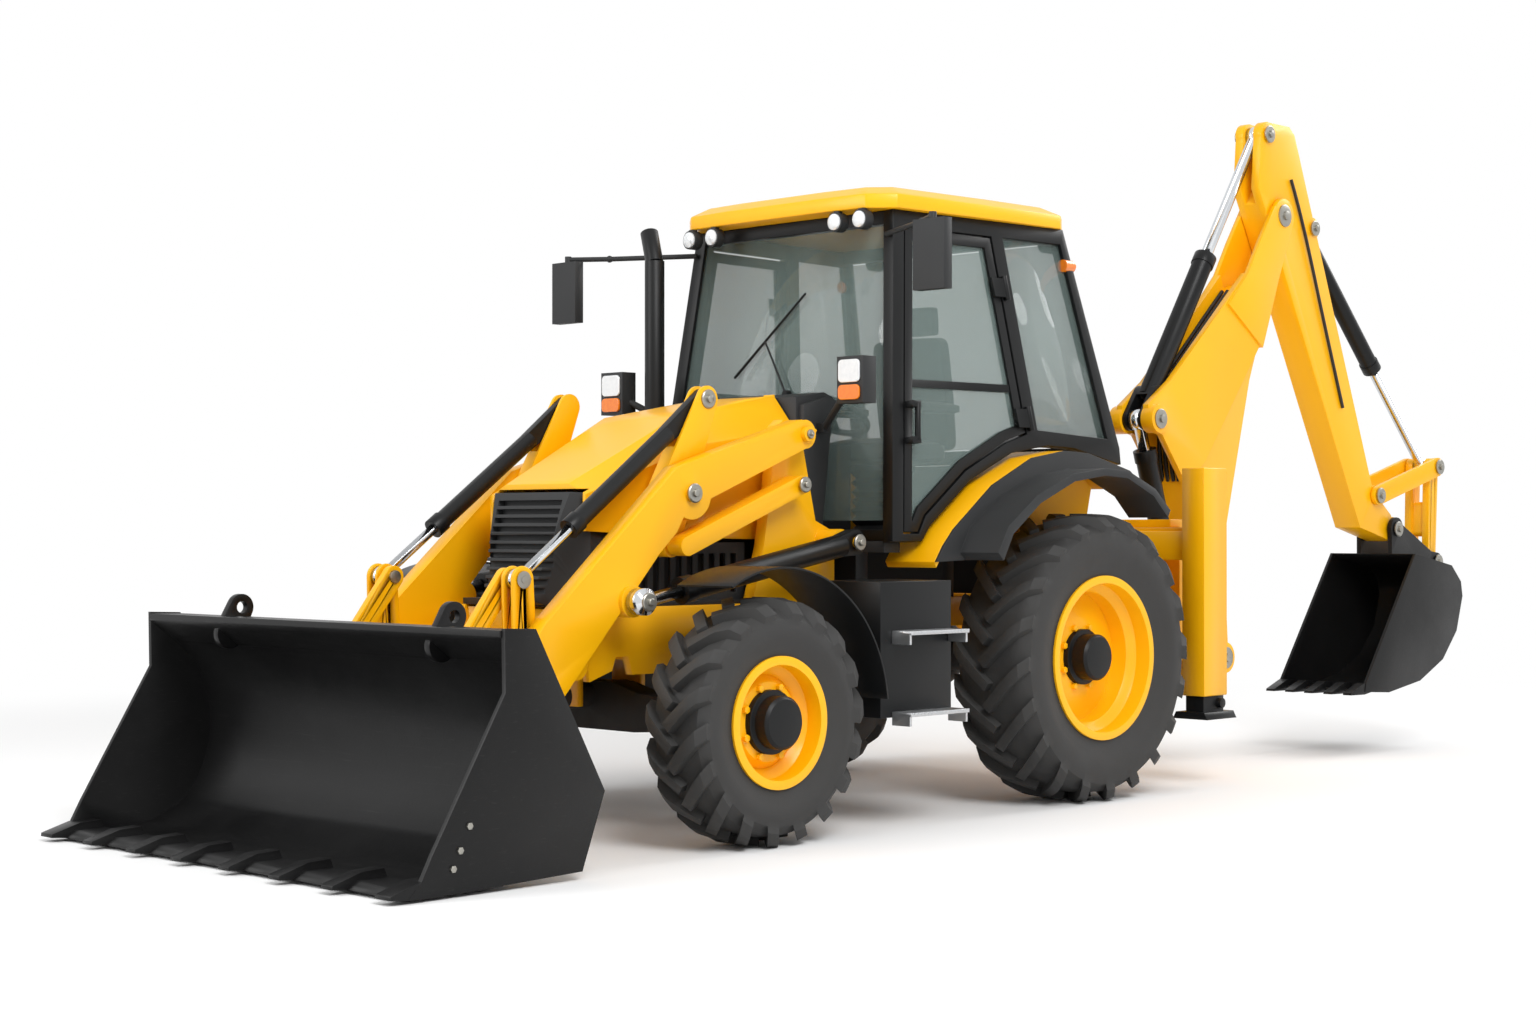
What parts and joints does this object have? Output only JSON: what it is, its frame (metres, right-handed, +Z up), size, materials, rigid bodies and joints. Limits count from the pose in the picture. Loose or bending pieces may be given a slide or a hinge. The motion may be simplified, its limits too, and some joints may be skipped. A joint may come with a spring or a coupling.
{
  "type": "backhoe loader",
  "caption": "Backhoe loader with a wide front bucket on level-lift arms, a glazed cab, pull-down stabiliser legs and a side-shifting digging arm at the back.",
  "frame": {"origin": "on the ground under the middle of the machine's overall box in length, on its centre plane", "axes": "+X towards the loader bucket (forwards), +Y to the machine's left, +Z up"},
  "size_m": [8.035, 2.5, 3.4419],
  "materials": {
    "yellow_paint": "warm yellow gloss paint",
    "black_paint": "satin black paint",
    "tyre_rubber": "matte black rubber",
    "cast_axle": "black painted casting",
    "bare_steel": "worn steel",
    "ram_chrome": "polished chrome",
    "tread_aluminium": "dimpled tread",
    "cab_glass": "green-grey tinted glass",
    "dark_plastic": "dark grey moulded plastic",
    "lamp_glass": "clear lamp lens",
    "seat_fabric": "dark grey woven fabric"
  },
  "bodies": {
    "chassis": {"chassis_frame": "yellow_paint", "axles": "cast_axle", "engine_block": "cast_axle", "grilles": "dark_plastic", "cab_base": "dark_plastic", "cab_frame": "black_paint", "cab_roof": "yellow_paint", "cab_glass": "cab_glass", "seat": "seat_fabric", "console": "dark_plastic", "rear_fenders": "yellow_paint", "fender_flares": "dark_plastic", "front_fenders": "black_paint", "side_tanks": "black_paint", "steps": "tread_aluminium", "exhaust_stack": "black_paint", "lamps": "lamp_glass", "mirrors": "dark_plastic", "rear_frame": "yellow_paint"},
    "rear_wheel_left": {"rear_rim_left": "yellow_paint", "rear_tyre_left": "tyre_rubber"},
    "knuckle_left": {"knuckle_left": "cast_axle"},
    "front_wheel_left": {"front_rim_left": "yellow_paint", "front_tyre_left": "tyre_rubber"},
    "rear_wheel_right": {"rear_rim_right": "yellow_paint", "rear_tyre_right": "tyre_rubber"},
    "knuckle_right": {"knuckle_right": "cast_axle"},
    "front_wheel_right": {"front_rim_right": "yellow_paint", "front_tyre_right": "tyre_rubber"},
    "loader_arms": {"loader_arms": "yellow_paint"},
    "levelling_levers": {"levelling_levers": "yellow_paint"},
    "levelling_links": {"levelling_links": "yellow_paint"},
    "lift_ram_barrels": {"lift_ram_barrels": "black_paint"},
    "lift_ram_rods": {"lift_ram_rods": "ram_chrome"},
    "tipping_pivot_pins": {"tipping_pivot_pins": "bare_steel"},
    "bucket_pivot_pins": {"bucket_pivot_pins": "bare_steel"},
    "loader_bucket": {"loader_bucket": "black_paint"},
    "tipping_levers": {"tipping_levers": "yellow_paint"},
    "tilt_ram_pins": {"tilt_ram_pins": "bare_steel"},
    "tipping_links": {"tipping_links": "yellow_paint"},
    "tilt_ram_barrels": {"tilt_ram_barrels": "black_paint"},
    "tilt_ram_rods": {"tilt_ram_rods": "ram_chrome"},
    "carriage": {"carriage": "yellow_paint"},
    "swing_casting": {"swing_casting": "yellow_paint"},
    "boom": {"boom": "yellow_paint"},
    "boom_ram_barrel": {"boom_ram_barrel": "black_paint"},
    "boom_ram_rod": {"boom_ram_rod": "ram_chrome"},
    "dipper": {"dipper": "yellow_paint"},
    "dipper_ram_barrel": {"dipper_ram_barrel": "black_paint"},
    "dipper_ram_rod": {"dipper_ram_rod": "ram_chrome"},
    "digging_bucket": {"digging_bucket": "black_paint"},
    "dipper_levers": {"dipper_levers": "yellow_paint"},
    "bucket_link": {"bucket_link": "yellow_paint"},
    "bucket_ram_barrel": {"bucket_ram_barrel": "black_paint"},
    "bucket_ram_rod": {"bucket_ram_rod": "ram_chrome"},
    "stabiliser_left": {"stabiliser_left": "black_paint"},
    "stabiliser_right": {"stabiliser_right": "black_paint"},
    "hood": {"hood": "yellow_paint"},
    "door_left": {"door_left": "black_paint"},
    "door_right": {"door_right": "black_paint"}
  },
  "joints": [
    {"name": "rear_wheel_left", "type": "hinge", "parent": "chassis", "child": "rear_wheel_left", "pos_m": [-0.06, 0.885, 0.662], "axis": [0, 1, 0], "continuous": true},
    {"name": "rear_wheel_right", "type": "hinge", "parent": "chassis", "child": "rear_wheel_right", "pos_m": [-0.06, -0.885, 0.662], "axis": [0, 1, 0], "continuous": true},
    {"name": "steering_left", "type": "hinge", "parent": "chassis", "child": "knuckle_left", "pos_m": [2.09, 0.765, 0.492], "axis": [0, 0, 1], "range_deg": [-32, 32]},
    {"name": "steering_right", "type": "hinge", "parent": "chassis", "child": "knuckle_right", "pos_m": [2.09, -0.765, 0.492], "axis": [0, 0, 1], "range_deg": [-32, 32]},
    {"name": "front_wheel_left", "type": "hinge", "parent": "knuckle_left", "child": "front_wheel_left", "pos_m": [2.09, 0.958, 0.492], "axis": [0, 1, 0], "continuous": true},
    {"name": "front_wheel_right", "type": "hinge", "parent": "knuckle_right", "child": "front_wheel_right", "pos_m": [2.09, -0.958, 0.492], "axis": [0, 1, 0], "continuous": true},
    {"name": "loader_lift", "type": "hinge", "parent": "chassis", "child": "loader_arms", "pos_m": [1.41, 0, 1.66], "axis": [0, -1, 0], "range_deg": [-1.7, 84.8]},
    {"name": "levelling_lever_pivot", "type": "hinge", "parent": "loader_arms", "child": "levelling_levers", "pos_m": [2.082, 0, 1.4], "axis": [0, -1, 0], "range_deg": [-85.3, 2.2]},
    {"name": "levelling_link_pivot", "type": "hinge", "parent": "chassis", "child": "levelling_links", "pos_m": [1.43, 0, 1.443], "axis": [0, -1, 0], "range_deg": [-2.2, 85.3]},
    {"name": "lift_ram_pivot", "type": "hinge", "parent": "chassis", "child": "lift_ram_barrels", "pos_m": [1.19, 0, 1.195], "axis": [0, -1, 0], "range_deg": [-1.84, 67.28]},
    {"name": "lift_ram_slide", "type": "slide", "parent": "lift_ram_barrels", "child": "lift_ram_rods", "axis": [0.983, 0, -0.1837], "range_m": [-0.0141, 0.5568]},
    {"name": "tipping_pivot_level", "type": "hinge", "parent": "loader_arms", "child": "tipping_pivot_pins", "pos_m": [2.874, 0, 0.661], "axis": [0, -1, 0], "range_deg": [-85.3, 2.2]},
    {"name": "bucket_pivot_level", "type": "hinge", "parent": "loader_arms", "child": "bucket_pivot_pins", "pos_m": [3.13, 0, 0.33], "axis": [0, -1, 0], "range_deg": [-85.3, 2.2]},
    {"name": "bucket_curl", "type": "hinge", "parent": "bucket_pivot_pins", "child": "loader_bucket", "pos_m": [3.13, 0, 0.33], "axis": [0, -1, 0], "range_deg": [-47, 40]},
    {"name": "tipping_lever_pivot", "type": "hinge", "parent": "tipping_pivot_pins", "child": "tipping_levers", "pos_m": [2.874, 0, 0.661], "axis": [0, -1, 0], "range_deg": [-47.5, 40.5]},
    {"name": "tilt_ram_pin_level", "type": "hinge", "parent": "tipping_levers", "child": "tilt_ram_pins", "pos_m": [2.89, 0, 1.057], "axis": [0, -1, 0], "range_deg": [-40.5, 47.5]},
    {"name": "tipping_link_pivot", "type": "hinge", "parent": "tilt_ram_pins", "child": "tipping_links", "pos_m": [2.89, 0, 1.057], "axis": [0, -1, 0], "range_deg": [-2.2, 85.3]},
    {"name": "tilt_ram_pivot", "type": "hinge", "parent": "levelling_levers", "child": "tilt_ram_barrels", "pos_m": [1.898, 0, 1.796], "axis": [0, -1, 0], "range_deg": [-1.95, 72.74]},
    {"name": "tilt_ram_slide", "type": "slide", "parent": "tilt_ram_barrels", "child": "tilt_ram_rods", "axis": [0.8019, 0, -0.5974], "range_m": [-0.2124, 0.2491]},
    {"name": "side_shift", "type": "slide", "parent": "chassis", "child": "carriage", "axis": [0, 1, 0], "range_m": [-1.05, 0.05]},
    {"name": "slew", "type": "hinge", "parent": "carriage", "child": "swing_casting", "pos_m": [-1.42, 0.5, 0.6], "axis": [0, 0, 1], "range_deg": [-90, 90]},
    {"name": "boom_lift", "type": "hinge", "parent": "swing_casting", "child": "boom", "pos_m": [-1.72, 0.5, 0.58], "axis": [0, 1, 0], "range_deg": [-100, 3]},
    {"name": "boom_ram_pivot", "type": "hinge", "parent": "swing_casting", "child": "boom_ram_barrel", "pos_m": [-1.435, 0.5, 0.84], "axis": [0, 1, 0], "range_deg": [-110.44, 3.8]},
    {"name": "boom_ram_slide", "type": "slide", "parent": "boom_ram_barrel", "child": "boom_ram_rod", "axis": [0.3183, 0, 0.948], "range_m": [-0.0203, 0.5809]},
    {"name": "dipper_crowd", "type": "hinge", "parent": "boom", "child": "dipper", "pos_m": [-2.291, 0.5, 2.944], "axis": [0, -1, 0], "range_deg": [-105, 8]},
    {"name": "dipper_ram_pivot", "type": "hinge", "parent": "boom", "child": "dipper_ram_barrel", "pos_m": [-1.11, 0.5, 1.808], "axis": [0, -1, 0], "range_deg": [-0.74, 3.65]},
    {"name": "dipper_ram_slide", "type": "slide", "parent": "dipper_ram_barrel", "child": "dipper_ram_rod", "axis": [-0.5631, 0, 0.8264], "range_m": [-0.7338, 0.0587]},
    {"name": "digging_curl", "type": "hinge", "parent": "dipper", "child": "digging_bucket", "pos_m": [-3.469, 0.5, 1.251], "axis": [0, -1, 0], "range_deg": [-60, 40]},
    {"name": "dipper_lever_pivot", "type": "hinge", "parent": "dipper", "child": "dipper_levers", "pos_m": [-3.281, 0.5, 1.442], "axis": [0, -1, 0], "range_deg": [-44.91, 30.1]},
    {"name": "bucket_link_pivot", "type": "hinge", "parent": "dipper_levers", "child": "bucket_link", "pos_m": [-3.953, 0.5, 1.617], "axis": [0, -1, 0], "range_deg": [-8.79, 12.94]},
    {"name": "bucket_ram_pivot", "type": "hinge", "parent": "dipper", "child": "bucket_ram_barrel", "pos_m": [-2.629, 0.5, 2.908], "axis": [0, -1, 0], "range_deg": [-6.37, 4.41]},
    {"name": "bucket_ram_slide", "type": "slide", "parent": "bucket_ram_barrel", "child": "bucket_ram_rod", "axis": [-0.716, 0, -0.6981], "range_m": [-0.4924, 0.3292]},
    {"name": "stabiliser_left_slide", "type": "slide", "parent": "chassis", "child": "stabiliser_left", "axis": [0, 0, -1], "range_m": [0, 0.55]},
    {"name": "stabiliser_right_slide", "type": "slide", "parent": "chassis", "child": "stabiliser_right", "axis": [0, 0, -1], "range_m": [0, 0.55]},
    {"name": "bonnet", "type": "hinge", "parent": "chassis", "child": "hood", "pos_m": [1.275, 0, 1.842], "axis": [0, -1, 0], "range_deg": [0, 45]},
    {"name": "door_left", "type": "hinge", "parent": "chassis", "child": "door_left", "pos_m": [0.16795, 0.77753, 1.90149], "axis": [0.1445, -0.1136, 0.983], "range_deg": [0, 75]},
    {"name": "door_right", "type": "hinge", "parent": "chassis", "child": "door_right", "pos_m": [0.16795, -0.77753, 1.90149], "axis": [-0.1445, -0.1136, -0.983], "range_deg": [0, 75]}
  ],
  "couplings": [
    {"joint": "steering_right", "follows": "steering_left", "ratio": 1},
    {"joint": "levelling_lever_pivot", "follows": "loader_lift", "ratio": -1},
    {"joint": "levelling_link_pivot", "follows": "loader_lift", "ratio": 1},
    {"joint": "lift_ram_pivot", "follows": "loader_lift", "ratio": 0.7875},
    {"joint": "lift_ram_slide", "follows": "loader_lift", "m_per_rad": 0.3742},
    {"joint": "tipping_pivot_level", "follows": "loader_lift", "ratio": -1},
    {"joint": "bucket_pivot_level", "follows": "loader_lift", "ratio": -1},
    {"joint": "tipping_lever_pivot", "follows": "bucket_curl", "ratio": 1},
    {"joint": "tilt_ram_pin_level", "follows": "bucket_curl", "ratio": -1},
    {"joint": "tipping_link_pivot", "follows": "loader_lift", "ratio": 1},
    {"joint": "tilt_ram_pivot", "follows": "loader_lift", "ratio": 0.8519},
    {"joint": "tilt_ram_slide", "follows": "bucket_curl", "m_per_rad": -0.3},
    {"joint": "boom_ram_pivot", "follows": "boom_lift", "ratio": 1.0994},
    {"joint": "boom_ram_slide", "follows": "boom_lift", "m_per_rad": -0.3311},
    {"joint": "dipper_ram_pivot", "follows": "dipper_crowd", "ratio": -0.03},
    {"joint": "dipper_ram_slide", "follows": "dipper_crowd", "m_per_rad": 0.3988},
    {"joint": "dipper_lever_pivot", "follows": "digging_curl", "ratio": 0.7401},
    {"joint": "bucket_link_pivot", "follows": "digging_curl", "ratio": -0.2073},
    {"joint": "bucket_ram_pivot", "follows": "digging_curl", "ratio": 0.0978},
    {"joint": "bucket_ram_slide", "follows": "digging_curl", "m_per_rad": 0.4673}
  ]
}
